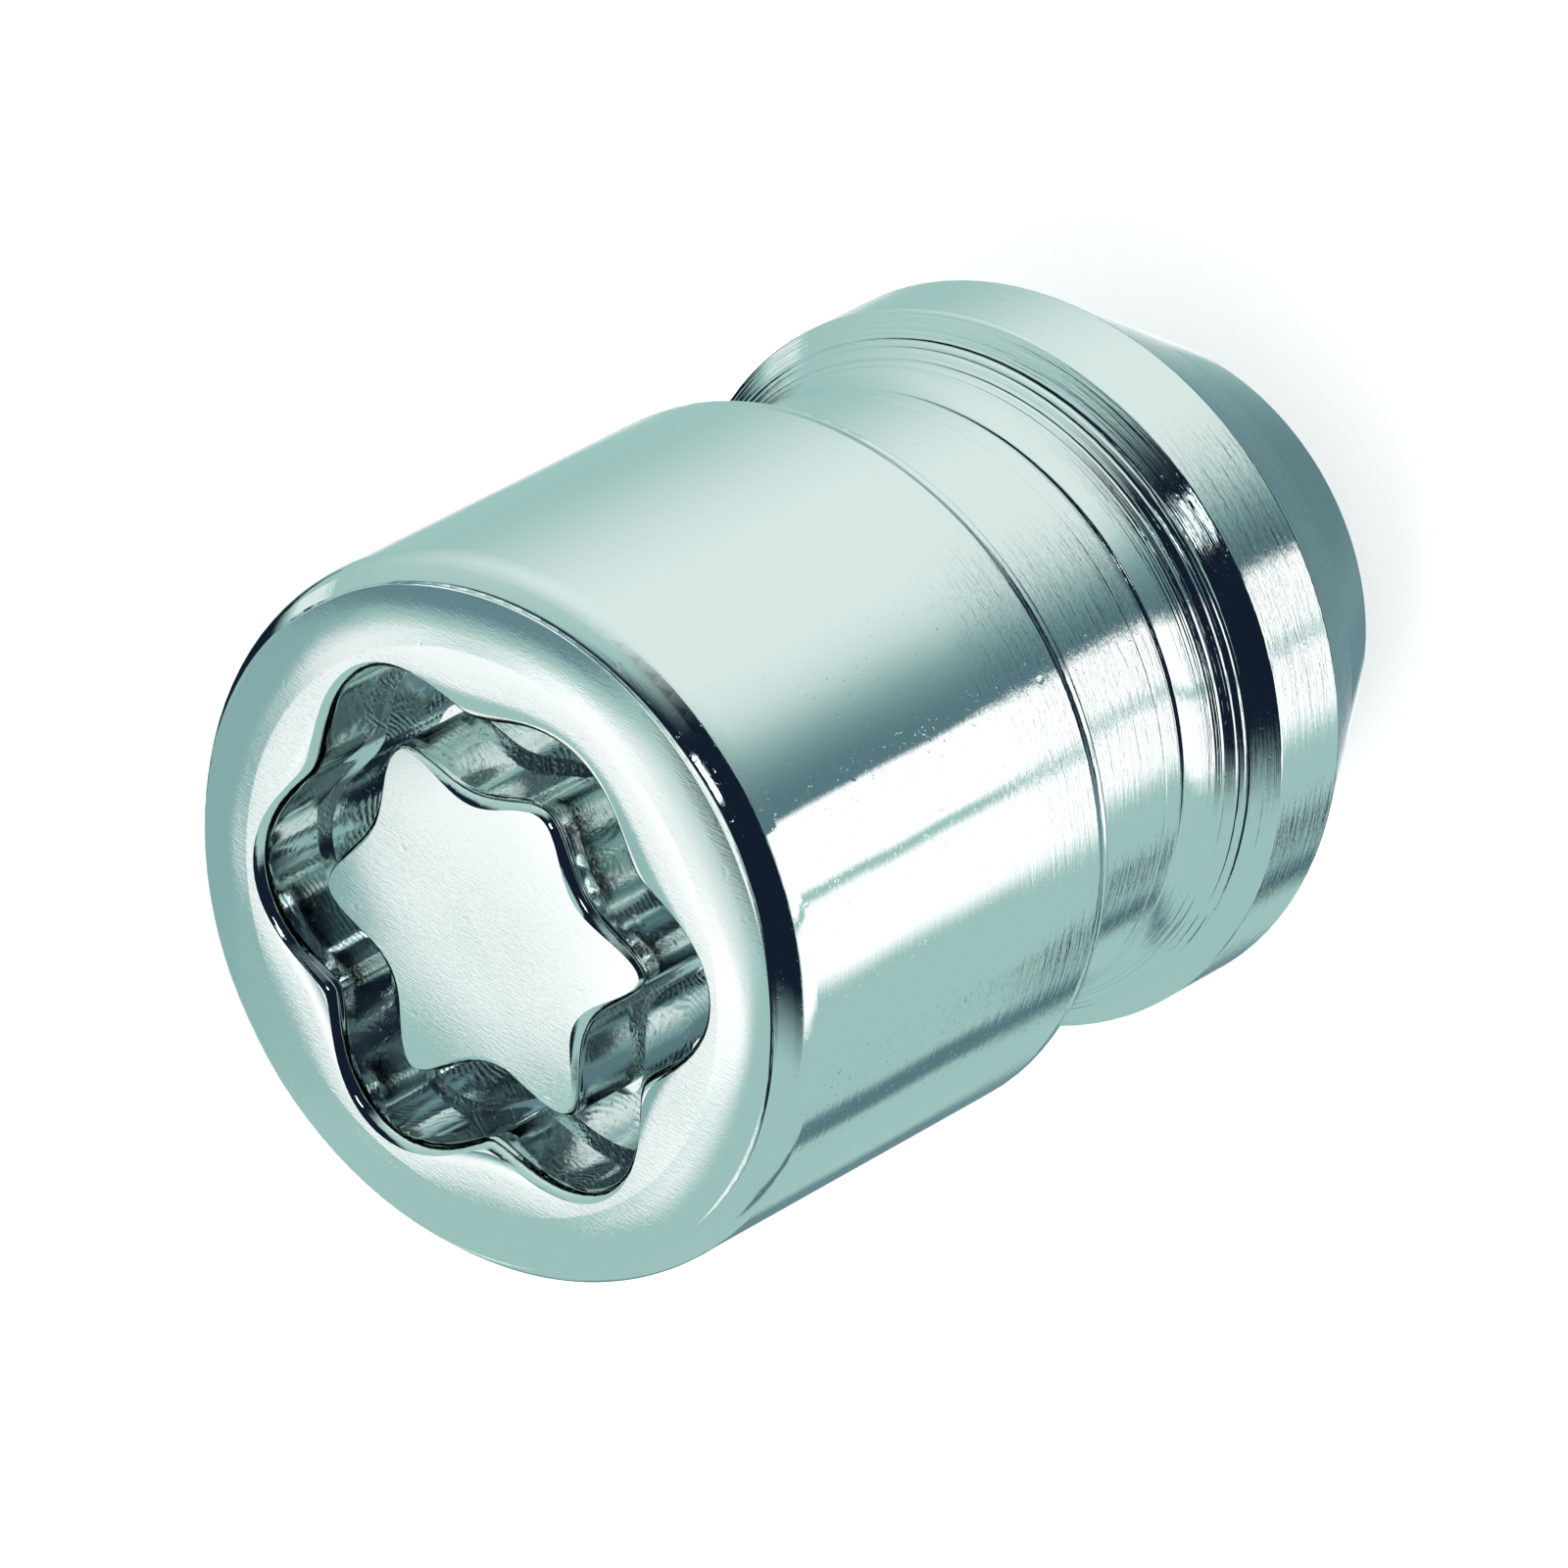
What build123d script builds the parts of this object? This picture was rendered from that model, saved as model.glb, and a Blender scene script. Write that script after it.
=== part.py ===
from build123d import *
from math import cos, hypot, pi, radians, sin, tan
import os

# Locking wheel nut, millimetres. The nut stands on its seat end with the key
# face up. The origin is the centre of the seat end, and a lobe of the key
# groove points along +X.

# Turned body, from the head down. Each smaller radius is set from the one before.
head_radius = 10.5
head_height = 13.5
head_overhang = 1.25
band_height = 4.65
band_step = 0.15
neck_fillet = 3.2
shoulder_reach = 1.5
shoulder_angle = 45.0
flange_height = 2.63
seat_half_angle = 30.0
end_ring_width = 0.73
chamfer_width = 0.59
chamfer_height = 0.78

# Key face. A flat ring falls away to the sharp crease, and the island inside the
# groove is a low pillow.
ring_rise = 0.25
ring_flat_margin = 0.05
island_rise = 0.3
island_crown = 0.22

# Roundings of the turned body.
seat_end_round = 0.3
flange_round = 0.15
band_edge_round = 0.1
band_corner_round = 0.35
head_rear_round = 0.5
chamfer_blend = 1.2
crease_round = 0.15

# Tapped hole, cut to the thread's outer radius. The thread's ridges are not in
# the solid.
hole_radius = 6.0
hole_depth = 20.5
hole_entry_width = 0.35
drill_point_half_angle = 59.0

# Key groove. Its middle line is a wave of six lobes. One lobe is shorter and one
# valley between two lobes is shallower, so the key fits in one position only.
lobes = 6
lobe_radius = 6.62
wave_share = 0.23
short_lobe = 5
short_lobe_share = 0.125
shallow_valley = 0
shallow_valley_share = 0.071
mouth_width = 2.16
ledge_width = 0.27
ledge_depth = 2.49
channel_depth = 1.86
wall_ease = 0.15
spline_steps = 8

# Rounded rim of the groove, on the ring and on the island.
rim_round = 0.45
rim_sections = 6
rim_last_angle = 78.0
rim_overshoot = 0.03
clearance_above = 0.3

# Radii that follow from the ones above.
band_radius = head_radius - head_overhang
neck_root_radius = band_radius - band_step
flange_radius = neck_root_radius + shoulder_reach
seat_end_radius = hole_radius + hole_entry_width + end_ring_width
crease_radius = head_radius - chamfer_width
ring_flat_radius = lobe_radius + mouth_width / 2 + rim_round + ring_flat_margin
valley_radius = lobe_radius * (1 - wave_share)
short_lobe_radius = lobe_radius * (1 - short_lobe_share)
shallow_valley_radius = valley_radius + lobe_radius * shallow_valley_share
groove_middle_radius = (lobe_radius + valley_radius) / 2
channel_width = mouth_width - 2 * ledge_width

# Heights that follow, from the seat end upwards.
seat_height = (flange_radius - seat_end_radius) / tan(radians(seat_half_angle))
flange_top = seat_height + flange_height
fillet_out = neck_fillet * (1 - cos(radians(shoulder_angle)))
fillet_down = neck_fillet * sin(radians(shoulder_angle))
fillet_low = flange_top + (shoulder_reach - fillet_out) / tan(radians(shoulder_angle))
fillet_top = fillet_low + fillet_down
head_rear = fillet_top + band_height
chamfer_start = head_rear + head_height
crease_height = chamfer_start + chamfer_height
ring_height = crease_height + ring_rise
island_height = crease_height + island_rise
rim_low = ring_height - rim_round
ledge_height = crease_height - ledge_depth
groove_floor = ledge_height - channel_depth


def round_corner(profile, at_radius, at_height, radius):
    spot = Vector(at_radius, at_height, 0)
    corner = min(profile.vertices(), key=lambda v: (Vector(v.X, v.Y, v.Z) - spot).length)
    return fillet(corner, radius)


def key_face_profile():
    crease = (crease_radius, crease_height)
    ring_outer = (ring_flat_radius, ring_height)
    ring_inner = (groove_middle_radius, ring_height)
    island_edge = (groove_middle_radius, island_height - island_crown)
    island_top = (0, island_height)
    return [
        TangentArc(ring_outer, crease, tangent=(1, 0)),
        Polyline(ring_outer, ring_inner, island_edge),
        TangentArc(island_top, island_edge, tangent=(1, 0)),
    ]


def body_profile():
    side = Polyline(
        (0, island_height),
        (0, 0),
        (seat_end_radius, 0),
        (flange_radius, seat_height),
        (flange_radius, flange_top),
        (neck_root_radius + fillet_out, fillet_low),
    )
    neck = RadiusArc(
        (neck_root_radius + fillet_out, fillet_low),
        (neck_root_radius, fillet_top),
        neck_fillet,
    )
    upper = Polyline(
        (neck_root_radius, fillet_top),
        (band_radius, fillet_top),
        (band_radius, head_rear),
        (head_radius, head_rear),
        (head_radius, chamfer_start),
        (crease_radius, crease_height),
    )
    lines = [side, neck, upper, *key_face_profile()]
    profile = make_face([edge for line in lines for edge in line.edges()])
    corners = [
        (seat_end_radius, 0, seat_end_round),
        (flange_radius, seat_height, flange_round),
        (flange_radius, flange_top, flange_round),
        (band_radius, fillet_top, band_edge_round),
        (band_radius, head_rear, band_corner_round),
        (head_radius, head_rear, head_rear_round),
        (head_radius, chamfer_start, chamfer_blend),
        (crease_radius, crease_height, crease_round),
    ]
    for at_radius, at_height, radius in corners:
        profile = round_corner(profile, at_radius, at_height, radius)
    return profile


def turned_body():
    return revolve(Plane.XZ * body_profile(), Axis.Z)


def tapped_hole():
    point_height = hole_radius / tan(radians(drill_point_half_angle))
    entry_radius = hole_radius + hole_entry_width
    outline = Polyline(
        (0, 0),
        (entry_radius, 0),
        (hole_radius, hole_entry_width),
        (hole_radius, hole_depth),
        (0, hole_depth + point_height),
        close=True,
    )
    return revolve(Plane.XZ * make_face(outline), Axis.Z)


def knot_radius(knot):
    lobe = knot // 2 % lobes
    if knot % 2 == 0:
        return short_lobe_radius if lobe == short_lobe else lobe_radius
    return shallow_valley_radius if lobe == shallow_valley else valley_radius


def wall_point(knot, share, shift, offset):
    # A point on the wave between two knots, moved out by shift and then along
    # the wave's own normal by offset.
    step = pi / lobes
    angle = (knot + share) * step
    start = knot_radius(knot)
    rise = knot_radius(knot + 1) - start
    radius = start + shift + rise * (1 - cos(pi * share)) / 2
    slope = rise * pi * sin(pi * share) / 2 / step
    size = hypot(radius, slope)
    out_part = radius + offset * radius / size
    turn_part = -offset * slope / size
    return (
        out_part * cos(angle) - turn_part * sin(angle),
        out_part * sin(angle) + turn_part * cos(angle),
    )


def wall_outline(side, half_width, spread=0):
    # side is 1 for the ring's wall and -1 for the island's wall.
    shift = side * (wall_ease + spread)
    offset = side * (half_width - wall_ease)
    points = []
    for knot in range(2 * lobes):
        for k in range(spline_steps):
            points.append(wall_point(knot, k / spline_steps, shift, offset))
    return make_face(Spline(*points, periodic=True))


def groove_step(width, floor, ceiling):
    ring = wall_outline(1, width / 2) - wall_outline(-1, width / 2)
    return extrude(Pos(0, 0, floor) * ring, ceiling - floor)


def rim_opening(side, ceiling):
    # The section leaves the wall upright and lies down as it reaches the face.
    climb = ceiling + rim_overshoot - rim_low
    sections = []
    for k in range(rim_sections):
        angle = radians(rim_last_angle) * k / (rim_sections - 1)
        spread = rim_round * (1 - cos(angle))
        height = rim_low + climb * sin(angle) / sin(radians(rim_last_angle))
        sections.append(Pos(0, 0, height) * wall_outline(side, mouth_width / 2, spread))
    top = island_height + clearance_above
    return loft(sections) + extrude(sections[-1], top - height)


def key_groove():
    mouth = groove_step(mouth_width, ledge_height, rim_low)
    channel = groove_step(channel_width, groove_floor, rim_low)
    rim = rim_opening(1, ring_height) - rim_opening(-1, island_height - island_crown / 2)
    return mouth + channel + rim


def wheel_nut():
    return turned_body() - tapped_hole() - key_groove()


os.makedirs("parts", exist_ok=True)
nut = wheel_nut()
nut.label = "wheel_nut"
export_step(nut, "parts/wheel_nut.step")
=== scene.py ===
from math import cos, pi, radians, sin

import bpy
from mathutils import Matrix, Vector


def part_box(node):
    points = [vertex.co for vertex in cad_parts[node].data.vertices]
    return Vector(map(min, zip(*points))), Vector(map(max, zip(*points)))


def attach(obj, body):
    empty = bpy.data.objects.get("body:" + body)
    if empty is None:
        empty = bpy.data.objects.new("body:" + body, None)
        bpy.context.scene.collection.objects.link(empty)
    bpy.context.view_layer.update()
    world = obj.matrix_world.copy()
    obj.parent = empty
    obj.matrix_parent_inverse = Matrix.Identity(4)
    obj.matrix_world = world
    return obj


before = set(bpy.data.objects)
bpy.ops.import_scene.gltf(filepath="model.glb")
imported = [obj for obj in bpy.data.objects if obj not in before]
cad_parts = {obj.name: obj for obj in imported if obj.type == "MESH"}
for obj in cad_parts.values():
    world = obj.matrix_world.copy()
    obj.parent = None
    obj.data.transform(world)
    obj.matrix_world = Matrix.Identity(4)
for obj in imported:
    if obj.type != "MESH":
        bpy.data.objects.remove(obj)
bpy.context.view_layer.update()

# Heights and radii of the nut in millimetres, as in the solid.
island_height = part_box("wheel_nut")[1][2] * 1000
crease_height = island_height - 0.3
ring_height = crease_height + 0.25
groove_floor = crease_height - 4.35
hole_top = 24.0
head_rear = 16.2
band_rear = 11.55
fillet_low = 9.29
flange_top = 8.73
side_radius = 9.0
crease_radius = 9.91
ring_flat_radius = 8.26
lobe_radius = 6.62
valley_radius = 5.097
short_lobe_loss = 0.83
shallow_valley_gain = 0.47
groove_half_width = 1.08
island_sphere_radius = 78.0


def colour(code):
    # A colour written as red, green and blue in hexadecimal, made linear.
    parts = [int(code[k:k + 2], 16) / 255 for k in (0, 2, 4)]
    linear = [p / 12.92 if p <= 0.04045 else ((p + 0.055) / 1.055) ** 2.4 for p in parts]
    return linear + [1.0]


class Shade:
    # A shader socket that takes part in sums and products.
    def __init__(self, tree, socket):
        self.tree = tree
        self.socket = socket

    def math(self, operation, *others):
        values = dict(enumerate([self, *others]))
        return make(self.tree, "ShaderNodeMath", {"operation": operation}, values)

    def __add__(self, other):
        return self.math("ADD", other)

    def __radd__(self, other):
        return self.math("ADD", other)

    def __sub__(self, other):
        return self.math("SUBTRACT", other)

    def __rsub__(self, other):
        values = {0: other, 1: self}
        return make(self.tree, "ShaderNodeMath", {"operation": "SUBTRACT"}, values)

    def __mul__(self, other):
        return self.math("MULTIPLY", other)

    def __rmul__(self, other):
        return self.math("MULTIPLY", other)

    def __truediv__(self, other):
        return self.math("DIVIDE", other)

    def __pow__(self, other):
        return self.math("POWER", other)

    def step(self, low, high):
        # Goes smoothly from 0 at low to 1 at high, also where low is the greater.
        if low > high:
            return 1 - self.step(high, low)
        settings = {"interpolation_type": "SMOOTHSTEP"}
        values = {"Value": self, "From Min": low, "From Max": high}
        return make(self.tree, "ShaderNodeMapRange", settings, values)


def make(tree, kind, settings=None, values=None, out=0):
    # A new node with its settings and the values or links of its sockets. What
    # comes back is one of its outputs.
    node = tree.nodes.new(kind)
    for name, value in (settings or {}).items():
        setattr(node, name, value)
    for name, value in (values or {}).items():
        place = node.inputs[name]
        if isinstance(value, Shade):
            tree.links.new(value.socket, place)
        else:
            place.default_value = value
    return Shade(tree, node.outputs[out])


def show(tree, shader, output="ShaderNodeOutputMaterial"):
    # The shader that a material or the world ends in.
    place = tree.nodes.new(output).inputs["Surface"]
    tree.links.new(shader.socket, place)


def empty_material(name):
    material = bpy.data.materials.new(name)
    material.use_nodes = True
    material.node_tree.nodes.clear()
    return material


def blend(tree, share, first, second):
    # A mix of two colours.
    settings = {"data_type": "RGBA"}
    return make(tree, "ShaderNodeMix", settings, {0: share, 6: first, 7: second}, 2)


def dot(tree, first, second):
    settings = {"operation": "DOT_PRODUCT"}
    return make(tree, "ShaderNodeVectorMath", settings, {0: first, 1: second}, "Value")


# Where the camera stands, and which way the studio's patches lie. Azimuths are
# counted from +X towards +Y, and turned with the camera.
camera_turn = 4.68
camera_elevation = 45.51
camera_roll = -117.92
camera_distance = 0.4358
look_at = Vector((-0.0005, 0.0026, 0.015))


def heading(azimuth, elevation):
    # The unit vector that points that way.
    a = radians(azimuth + camera_turn)
    e = radians(elevation)
    return Vector((cos(e) * cos(a), cos(e) * sin(a), sin(e)))


def add_camera():
    data = bpy.data.cameras.new("camera")
    data.lens = 360
    data.sensor_width = 36
    data.clip_start = 0.01
    data.clip_end = 20
    camera = bpy.data.objects.new("camera", data)
    bpy.context.collection.objects.link(camera)
    back = heading(-90, camera_elevation)
    turn = Matrix.Rotation(radians(camera_turn), 4, "Z")
    tilt = Matrix.Rotation(radians(90 - camera_elevation), 4, "X")
    roll = Matrix.Rotation(radians(camera_roll), 4, "Z")
    stand = Matrix.Translation(look_at + back * camera_distance)
    camera.matrix_world = stand @ turn @ tilt @ roll
    bpy.context.scene.camera = camera


# The studio's colours, as the chrome sees them. The whites are a little over full
# strength, and the glint is well over it.
teal = colour("A6C9C4")
pale_teal = colour("E6F3F0")
slate = colour("5E7D85")
dusk = colour("6B8A92")
navy = colour("151F2F")
white = [1.2, 1.22, 1.22, 1.0]
glint = [3.6, 4.2, 4.2, 1.0]
soft_white = [1.05, 1.07, 1.07, 1.0]
box_white = [1.0, 1.03, 1.02, 1.0]
green_teal = colour("8DB3B2")

# What matt surfaces and the camera get from the world.
matt_grey = [0.8, 0.8, 0.8, 1.0]
backdrop_white = [1.0, 1.0, 1.0, 1.0]


def spot(tree, look, azimuth, elevation, inner, outer):
    # A round patch that is full inside one angle and gone outside another.
    towards = dot(tree, look, heading(azimuth, elevation))
    return towards.step(cos(radians(outer)), cos(radians(inner)))


def panel(lay, azimuths, elevations, fades):
    # A patch between two azimuths and two elevations. The fades are the widths in
    # degrees over which it goes out past its low and high azimuth and elevation.
    azimuth, height = lay
    middle = sum(azimuths) / 2
    reach = (azimuths[1] - azimuths[0]) / 2
    turn = (azimuth - middle).math("WRAP", 180, -180)
    share = turn.step(-reach - fades[0], -reach) * turn.step(reach + fades[1], reach)
    share = share * height.step(elevations[0] - fades[2], elevations[0])
    return share * height.step(elevations[1] + fades[3], elevations[1])


def above_edge(tree, look, azimuth, elevation, slant, softness):
    # The side above a straight edge through one direction, turned by the slant.
    # The edge goes from crisp on one side to soft on the other.
    ahead = heading(azimuth, elevation)
    side = heading(azimuth - 90, 0)
    rise = side.cross(ahead)
    normal = rise * cos(radians(slant)) + side * sin(radians(slant))
    crisp, soft = softness
    width = dot(tree, look, side).step(-radians(1), radians(5)) * (soft - crisp) + crisp
    return (dot(tree, look, normal) / width * (180 / pi)).step(-1, 1)


def studio(tree, look):
    # What the chrome reflects. Each patch lies over the ones before it, and the
    # comments say where it shows on the nut as the camera sees it.
    across = dot(tree, look, heading(90, 0))
    azimuth = across.math("ARCTAN2", dot(tree, look, heading(0, 0))) * (180 / pi)
    lay = azimuth, dot(tree, look, Vector((0, 0, 1))).math("ARCSINE") * (180 / pi)
    face_box = panel(lay, (86, 95), (41, 51), (15, 20, 3, 27))
    face_box = face_box * above_edge(tree, look, 90, 41.8, slant=30, softness=(0.5, 3.5))
    patches = [
        # The cone, a faint light on it, and a paler grey at its lower end.
        (spot(tree, look, 90, -90, 12, 38), slate),
        (spot(tree, look, 90, -46, 4, 13), soft_white),
        (panel(lay, (100, 112), (-60, -30), (6, 8, 10, 10)), dusk),
        # The dark upper end of the shoulder, and a light beside it.
        (panel(lay, (58, 74), (-32, -8), (6, 6, 6, 6)), navy),
        (panel(lay, (45, 50), (-10, 0), (3, 3, 4, 4)), pale_teal),
        # Dark streaks along the lower outline, at the head's rear and the flange.
        (panel(lay, (143, 171), (-58, -48.4), (6, 4, 4, 1.8)), navy),
        # A greener side of the ring's cushion and of the island's edge.
        (panel(lay, (62, 86), (8, 44), (12, 6, 12, 4)), green_teal),
        # Along the head, band and flange: the light upper side, and the dark stripe
        # between it and the white window.
        (panel(lay, (-54, -24), (-62, -20), (36, 72, 15, 65)), pale_teal),
        (panel(lay, (-103, -98), (-66, -4), (2, 30, 10, 6)), slate),
        # The rounded rear edge of the head.
        (panel(lay, (-150, -70), (-78, -56), (14, 30, 6, 5)), navy),
        # A thin dark line under the white window, the window, and a line in it.
        (panel(lay, (-209, -203), (-60, -20), (4, 4, 8, 8)), slate),
        (panel(lay, (-150, -103), (-52, -6), (9, 2, 3, 4)), white),
        (panel(lay, (-127, -126), (-52, -6), (3, 2, 3, 4)), teal),
        # The dark walls of the groove.
        (panel(lay, (48, 62), (38, 62), (10, 9, 10, 12)), dusk),
        (panel(lay, (-70, 38), (46, 89), (28, 14, 12, 1)), navy),
        (panel(lay, (140, 220), (47, 89), (16, 30, 9, 1)), navy),
        # The dark of the chamfer, fillet and shoulder, and more of the groove.
        (panel(lay, (-143, -71), (0, 89), (26, 36, 3, 1)), navy),
        # The ring's dark outer edge. The teal over it shows from above only.
        (spot(tree, look, 90, 84, 6, 16), navy),
        (spot(tree, look, -90, 88, 9, 17), teal),
        # The light box that fills the ring and the island, and its brighter strip.
        (face_box, box_white),
        (face_box * panel(lay, (60, 120), (50, 53), (5, 5, 4, 5)), white),
        # The small bright glints on the chamfer and the shoulder.
        (panel(lay, (-86, -75), (45, 48), (4, 3, 2, 2)), glint),
    ]
    tone = teal
    for share, patch in patches:
        tone = blend(tree, share, tone, patch)
    return tone


def add_world():
    world = bpy.data.worlds.new("studio")
    world.use_nodes = True
    tree = world.node_tree
    tree.nodes.clear()
    look = make(tree, "ShaderNodeTexCoord", out="Generated")
    camera_ray = make(tree, "ShaderNodeLightPath", out="Is Camera Ray")
    matt_ray = make(tree, "ShaderNodeLightPath", out="Is Diffuse Ray")

    def background(tone):
        return make(tree, "ShaderNodeBackground", {}, {"Color": tone, "Strength": 1.0})

    seen = background(studio(tree, look))
    plain = background(matt_grey)
    backdrop = background(backdrop_white)
    light = make(tree, "ShaderNodeMixShader", {}, {0: matt_ray, 1: seen, 2: plain})
    light = make(tree, "ShaderNodeMixShader", {}, {0: camera_ray, 1: light, 2: backdrop})
    show(tree, light, "ShaderNodeOutputWorld")
    # The world isn't sampled as a lamp, and rays only meet it by chance. That keeps
    # the patches above quick.
    world.cycles.sampling_method = "NONE"
    bpy.context.scene.world = world


floor_size = 3
paper_white = [0.9, 0.9, 0.9, 1.0]
glow_white = [1.0, 1.0, 1.0, 1.0]
glow_strength = 0.45


def add_floor():
    # White paper that glows a little. Reflected rays go through it.
    bpy.ops.mesh.primitive_plane_add(size=floor_size)
    floor = bpy.context.object
    floor.name = "floor"
    material = empty_material("floor_white")
    tree = material.node_tree
    matt = make(tree, "ShaderNodeBsdfDiffuse", {}, {"Color": paper_white})
    values = {"Color": glow_white, "Strength": glow_strength}
    glow = make(tree, "ShaderNodeEmission", {}, values)
    paper = make(tree, "ShaderNodeAddShader", {}, {0: matt, 1: glow})
    clear = make(tree, "ShaderNodeBsdfTransparent")
    glossy_ray = make(tree, "ShaderNodeLightPath", out="Is Glossy Ray")
    show(tree, make(tree, "ShaderNodeMixShader", {}, {0: glossy_ray, 1: paper, 2: clear}))
    floor.data.materials.append(material)


lamp_distance = 0.9


def add_lamp():
    data = bpy.data.lights.new("key_lamp", "AREA")
    data.shape = "DISK"
    data.size = 0.5
    data.energy = 3.0
    lamp = bpy.data.objects.new("key_lamp", data)
    bpy.context.collection.objects.link(lamp)
    back = heading(150, 60)
    lamp.location = back * lamp_distance
    lamp.rotation_euler = back.to_track_quat("Z", "Y").to_euler()
    lamp.visible_glossy = False


def noise(tree, place, scale=1.0, detail=2.0, rough=0.5):
    # Noise that swings round 0.
    settings = {"noise_dimensions": "3D"}
    values = {"Vector": place, "Scale": scale, "Detail": detail, "Roughness": rough}
    return make(tree, "ShaderNodeTexNoise", settings, values, "Fac") - 0.5


def point(tree, x, y, z):
    return make(tree, "ShaderNodeCombineXYZ", {}, {"X": x, "Y": y, "Z": z}, "Vector")


def near(value, middle, reach):
    # A soft hump round one value.
    return (value - middle).math("ABSOLUTE").step(reach, 0)


def groove_middle(turn):
    # The middle line of the key groove: six lobes, one shorter, and one valley
    # that is shallower.
    six = (turn * 6).math("COSINE")
    wave = valley_radius + (lobe_radius - valley_radius) * (1 + six) * 0.5
    short = (turn + radians(60)).math("COSINE").math("GREATER_THAN", cos(radians(30)))
    shallow = (turn - radians(30)).math("COSINE").math("GREATER_THAN", cos(radians(30)))
    wave = wave - short_lobe_loss * short * (1 + six) * 0.5
    return wave + shallow_valley_gain * shallow * (1 - six) * 0.5


# The cushion of the pressed ring. Its crest has one radius over the groove's valleys
# and follows a share of the wave. The solid's own fall, from the flat to the crease,
# is taken off.
crest_over_valleys = 7.3
crest_share = 0.54
crease_side_fall = 0.12
groove_side_fall = 0.075
groove_side_width = 0.8
rim_reach = 0.36
solid_fall = 0.2475


def ring_cushion(radius, middle):
    # The ring is highest along a line that follows the groove, and falls away from
    # it both ways.
    crest = crest_over_valleys + crest_share * (middle - valley_radius)
    reach = crease_radius - crest
    out = ((radius - crest) / reach).math("MAXIMUM", 0).math("MINIMUM", 1)
    flat_width = crease_radius - ring_flat_radius
    flat = ((radius - ring_flat_radius) * (1 / flat_width)).math("MAXIMUM", 0)
    rim = middle + groove_half_width + rim_reach
    inward = (crest - radius).math("MINIMUM", crest - rim).math("MAXIMUM", 0)
    drop = out ** 2.5 * reach * crease_side_fall - flat ** 2 * solid_fall
    return -1 * drop - (inward * (1 / groove_side_width)) ** 3.2 * groove_side_fall


island_fall = 0.000385


def island_pillow(radius):
    # The island is flatter in the middle than the solid's crown, and falls away
    # faster towards its edge.
    crown = radius ** 2 * (0.5 / island_sphere_radius)
    return crown - radius ** 3.5 * island_fall


# Rings left by the cutter on the bottom of the groove, round the middle of each lobe.
lobe_pitch = radians(60)
swirl_centre = 5.0
swirl_radians_per_mm = 34
swirl_depth = 0.0009


def swirl_marks(radius, turn):
    sector = turn.math("WRAP", lobe_pitch / 2, -lobe_pitch / 2)
    out = radius * sector.math("COSINE") - swirl_centre
    across = radius * sector.math("SINE")
    away = (out * out + across * across) ** 0.5
    return (away * swirl_radians_per_mm).math("SINE") * swirl_depth


# Lines scored into the nut's side: the height of each, half its width and its depth.
scored_lines = [
    (11.42, 0.2, 0.16),
    (16.7, 0.24, 0.05),
    (12.25, 0.06, 0.008),
    (9.42, 0.08, 0.03),
    (9.62, 0.07, 0.02),
    (9.95, 0.06, 0.02),
    (10.2, 0.05, 0.012),
]

# Depths of the turning lines and of the grain on the head, and what its rear, all
# that lies below it and the shoulder add to them.
turning_depths = (0.003, 0.011, 0.012, -0.006)
grain_depths = (0.0003, 0.0018, 0.0014, -0.001)
long_line_depth = 0.022


def below_head(z):
    return 1 - z.step(head_rear - 0.2, head_rear + 0.3)


def side_marks(tree, x, y, z, grain):
    # Turning lines, grain, long lines round the shoulder, and the scored lines.
    below = below_head(z)
    rear = 1 - z.step(head_rear + 1.0, head_rear + 6.0) - below
    shoulder = z.step(flange_top - 0.1, flange_top + 0.1)
    shoulder = shoulder * (1 - z.step(fillet_low + 0.8, band_rear))

    def depth(plain, rear_gain, below_gain, shoulder_gain):
        return plain + rear * rear_gain + below * below_gain + shoulder * shoulder_gain

    turned = noise(tree, point(tree, x * 0.45, y * 0.45, z * 5.0), detail=4.0, rough=0.7)
    long_lines = noise(tree, point(tree, x * 0.12, y * 0.12, z * 13.0), rough=0.6)
    marks = turned * depth(*turning_depths) + grain * depth(*grain_depths)
    marks = marks + shoulder * long_lines * long_line_depth
    for level, reach, score in scored_lines:
        marks = marks - near(z, level, reach) * score
    return marks


# How far below the crease the rounding of the chamfer starts, and how fast it falls.
chamfer_round = 0.65
chamfer_bend = 0.19


def chamfer_fall(z, side):
    # The chamfer is a little round. What lies inside the side counts as its upper
    # end, down to half the nut's height.
    top = (1 - side) * z.step(14, 16) * chamfer_round
    climb = z.math("MINIMUM", crease_height) + chamfer_round - crease_height
    return climb.math("MAXIMUM", top) ** 2 * chamfer_bend


# Depths of the fine marks in the plating.
ripple_depth = 0.012
pit_depth = 0.015
side_speck_depth = 0.018
wall_speck_depth = 0.06
stroke_depth = 0.0025
wall_grain_depth = 0.004


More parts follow.
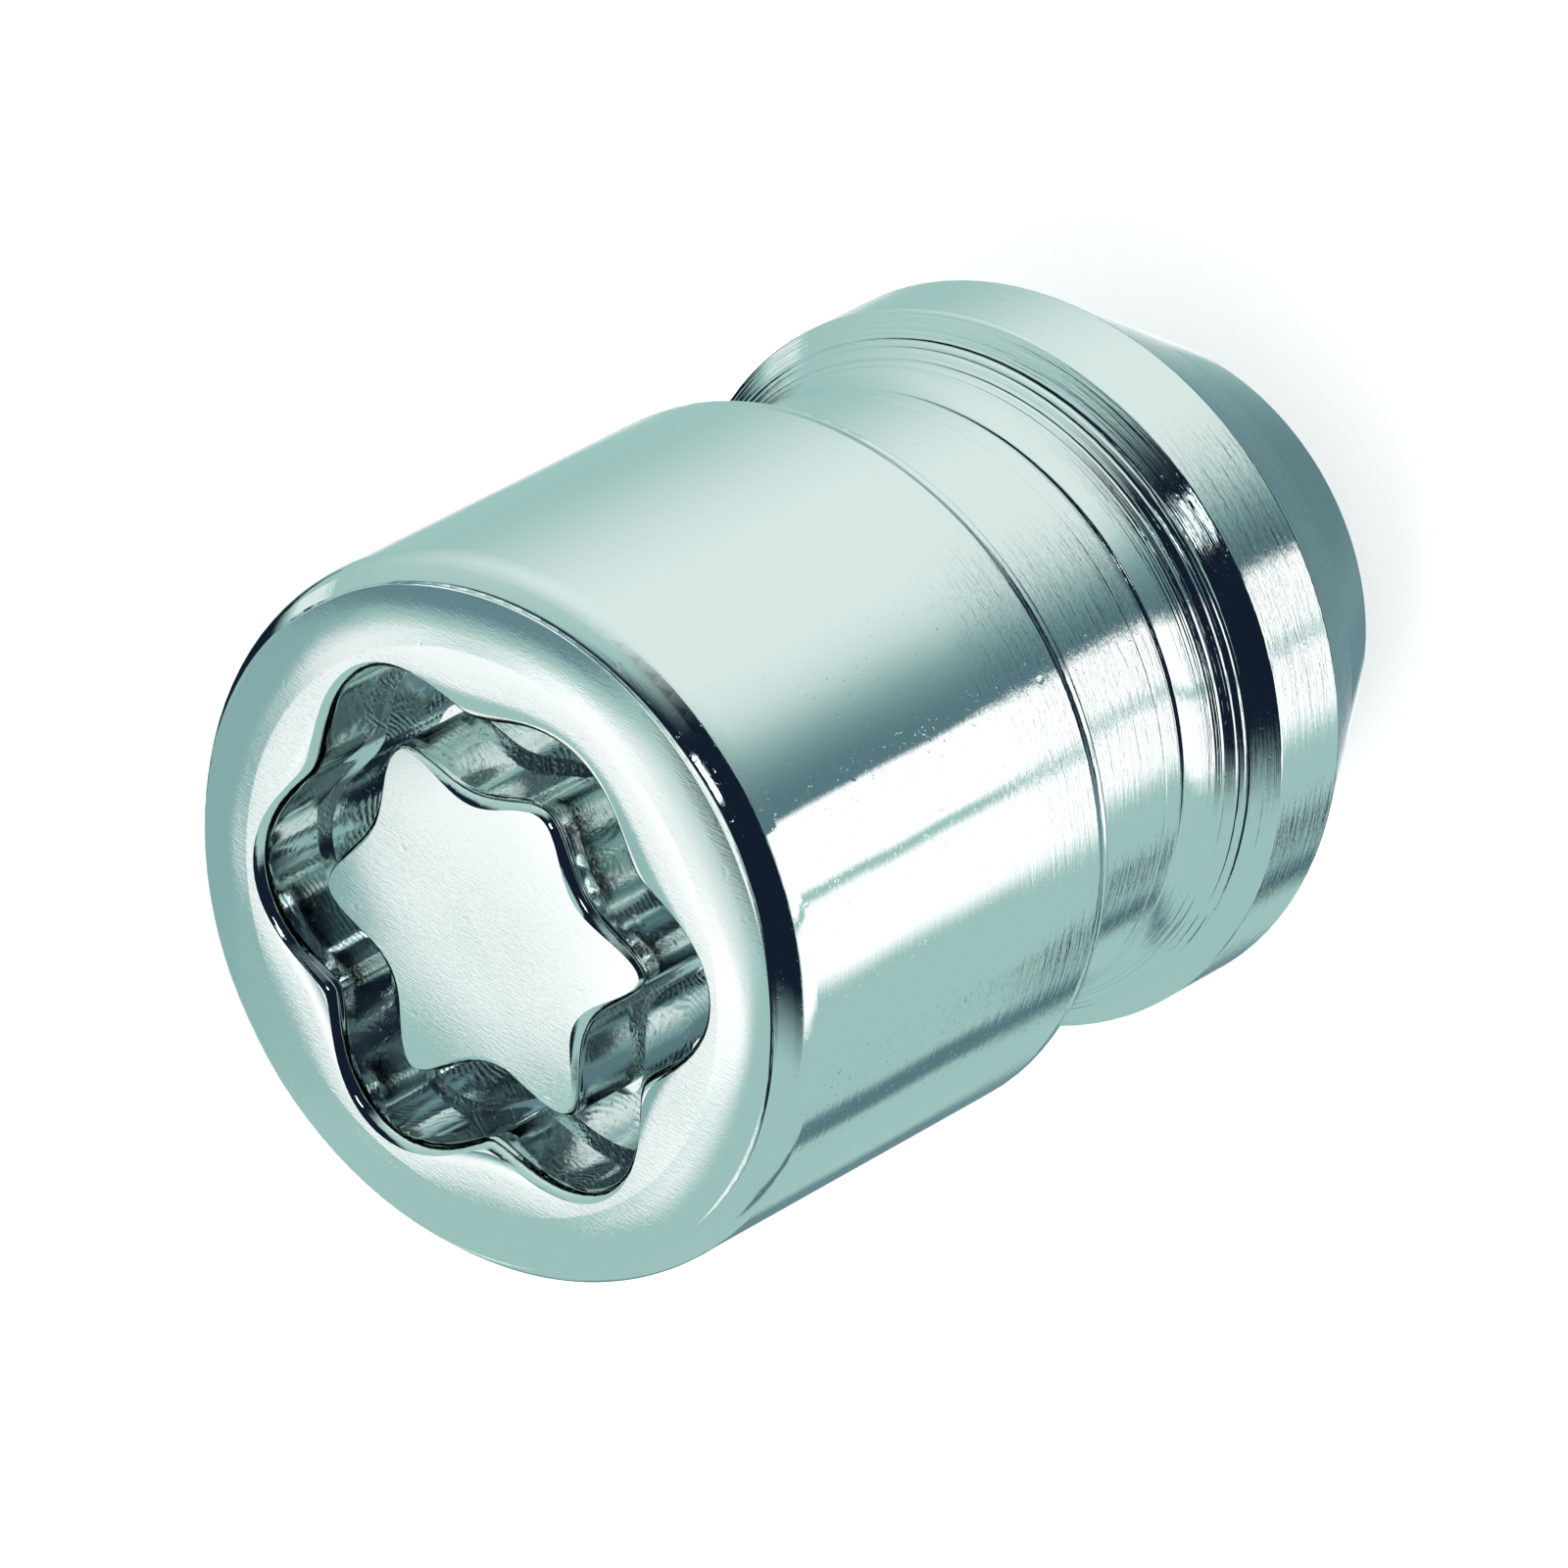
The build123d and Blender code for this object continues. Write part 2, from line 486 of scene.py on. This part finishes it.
def plate_relief(tree, place):
    # The height of the plated surface in millimetres, and the places that are a
    # little duller.
    x, y, z = [
        make(tree, "ShaderNodeSeparateXYZ", {}, {"Vector": place}, axis) for axis in "XYZ"
    ]
    radius = (x * x + y * y) ** 0.5
    turn = y.math("ARCTAN2", x)
    middle = groove_middle(turn)

    # Where the side, the key face, the ring, and the groove's walls and bottom are.
    outer = radius.step(side_radius - 0.1, side_radius)
    face = z.step(crease_height - 0.2, crease_height)
    face = face * (1 - radius.step(crease_radius - 0.1, crease_radius + 0.1))
    side = outer * (1 - face)
    ring = (radius - middle).math("GREATER_THAN", 0.0)
    walls = z.step(hole_top, hole_top + 1) - z.step(ring_height - 0.5, ring_height - 0.35)
    walls = walls * (1 - radius.step(side_radius, side_radius + 0.3))
    bottom = walls * (1 - z.step(groove_floor + 0.01, groove_floor + 0.05))

    # Slow ripples, pits, grain and specks all over, and strokes across the face.
    ripple = noise(tree, place, 0.4, 0.0)
    pits = (noise(tree, place, 2.6, 0.0) - 0.27).math("MAXIMUM", 0)
    grain = noise(tree, place, 7.0, 2.0, 0.6)
    specks = (grain - 0.16).math("MAXIMUM", 0)
    strokes = noise(tree, point(tree, x * 3 + y * 3, x * 14 - y * 14, z), rough=0.6)

    height = side * side_marks(tree, x, y, z, grain) - chamfer_fall(z, outer)
    height = height + ripple * ripple_depth - pits * pit_depth
    height = height - specks * (side * side_speck_depth + walls * wall_speck_depth)
    cushion = ring * ring_cushion(radius, middle) + (1 - ring) * island_pillow(radius)
    height = height + face * (cushion + strokes * stroke_depth)
    height = height + walls * grain * ripple.step(-0.02, 0.1) * wall_grain_depth
    height = height + bottom * swirl_marks(radius, turn)
    return height, side * below_head(z) + walls


chrome_tone = [0.86, 0.9, 0.895, 1.0]
chrome_roughness = 0.04
dull_gain = 0.02


def chrome_plate():
    material = empty_material("chrome_plate")
    tree = material.node_tree
    metres = make(tree, "ShaderNodeTexCoord", out="Object")
    values = {0: metres, "Scale": 1000.0}
    place = make(tree, "ShaderNodeVectorMath", {"operation": "SCALE"}, values, "Vector")
    height, dull = plate_relief(tree, place)
    values = {"Strength": 1.0, "Distance": 0.001, "Height": height}
    bump = make(tree, "ShaderNodeBump", {}, values, "Normal")
    values = {
        "Base Color": chrome_tone,
        "Metallic": 1.0,
        "Roughness": chrome_roughness + dull * dull_gain,
        "Normal": bump,
    }
    show(tree, make(tree, "ShaderNodeBsdfPrincipled", {}, values))
    return material


def finish_nut(plate):
    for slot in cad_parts["wheel_nut"].material_slots:
        slot.material = plate


# The thread in the hole, in millimetres. The solid's hole is cut to the thread's
# outer radius, and the roots reach a little into the steel.
hole_radius = 6.0
thread_pitch = 1.5
thread_inner_radius = 5.19
thread_turns = 13
thread_start = -0.75
crest_width = 0.38
root_width = 1.3
root_reach = 0.03
steps_per_turn = 64
entry_width = 0.35
entry_top = 2.4
entry_bottom = -2.0


def chosen_only(thing):
    bpy.ops.object.select_all(action="DESELECT")
    thing.select_set(True)
    bpy.context.view_layer.objects.active = thing


def add_thread(plate):
    # One flat square becomes a tooth's section, and is turned up the hole.
    bpy.ops.object.select_all(action="DESELECT")
    bpy.ops.mesh.primitive_plane_add(size=1, rotation=(pi / 2, 0, 0))
    thread = bpy.context.object
    thread.name = "thread"
    bpy.ops.object.transform_apply(location=False, rotation=True, scale=False)
    for corner in thread.data.vertices:
        inner = corner.co.x < 0
        half = (crest_width if inner else root_width) / 2
        corner.co.x = (thread_inner_radius if inner else hole_radius + root_reach) / 1000
        corner.co.z = (thread_start + (half if corner.co.z > 0 else -half)) / 1000
    turn = thread.modifiers.new("turn", "SCREW")
    turn.axis = "Z"
    turn.angle = 2 * pi
    turn.screw_offset = thread_pitch / 1000
    turn.iterations = thread_turns
    turn.steps = steps_per_turn
    turn.render_steps = steps_per_turn
    turn.use_merge_vertices = False
    chosen_only(thread)
    bpy.ops.object.modifier_apply(modifier="turn")
    bpy.ops.object.mode_set(mode="EDIT")
    bpy.ops.mesh.select_all(action="SELECT")
    bpy.ops.mesh.fill_holes(sides=4)
    bpy.ops.mesh.select_all(action="SELECT")
    bpy.ops.mesh.normals_make_consistent(inside=False)
    bpy.ops.object.mode_set(mode="OBJECT")
    cut_entry(thread)
    bpy.ops.object.shade_smooth_by_angle(angle=radians(25))
    thread.data.materials.append(plate)
    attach(thread, "root")


def cut_entry(thread):
    # The mouth of the hole is chamfered through the first turns by a cone that
    # narrows upwards at 45 degrees.
    mouth_radius = hole_radius + entry_width
    bpy.ops.mesh.primitive_cone_add(
        vertices=steps_per_turn,
        radius1=(mouth_radius - entry_bottom) / 1000,
        radius2=(mouth_radius - entry_top) / 1000,
        depth=(entry_top - entry_bottom) / 1000,
        location=(0, 0, (entry_top + entry_bottom) / 2000),
    )
    cutter = bpy.context.object
    cut = thread.modifiers.new("entry", "BOOLEAN")
    cut.operation = "DIFFERENCE"
    cut.solver = "EXACT"
    cut.object = cutter
    chosen_only(thread)
    bpy.ops.object.modifier_apply(modifier="entry")
    bpy.data.objects.remove(cutter)


bpy.context.scene.view_settings.view_transform = "Standard"
add_camera()
add_world()
add_floor()
add_lamp()
chrome = chrome_plate()
finish_nut(chrome)
add_thread(chrome)
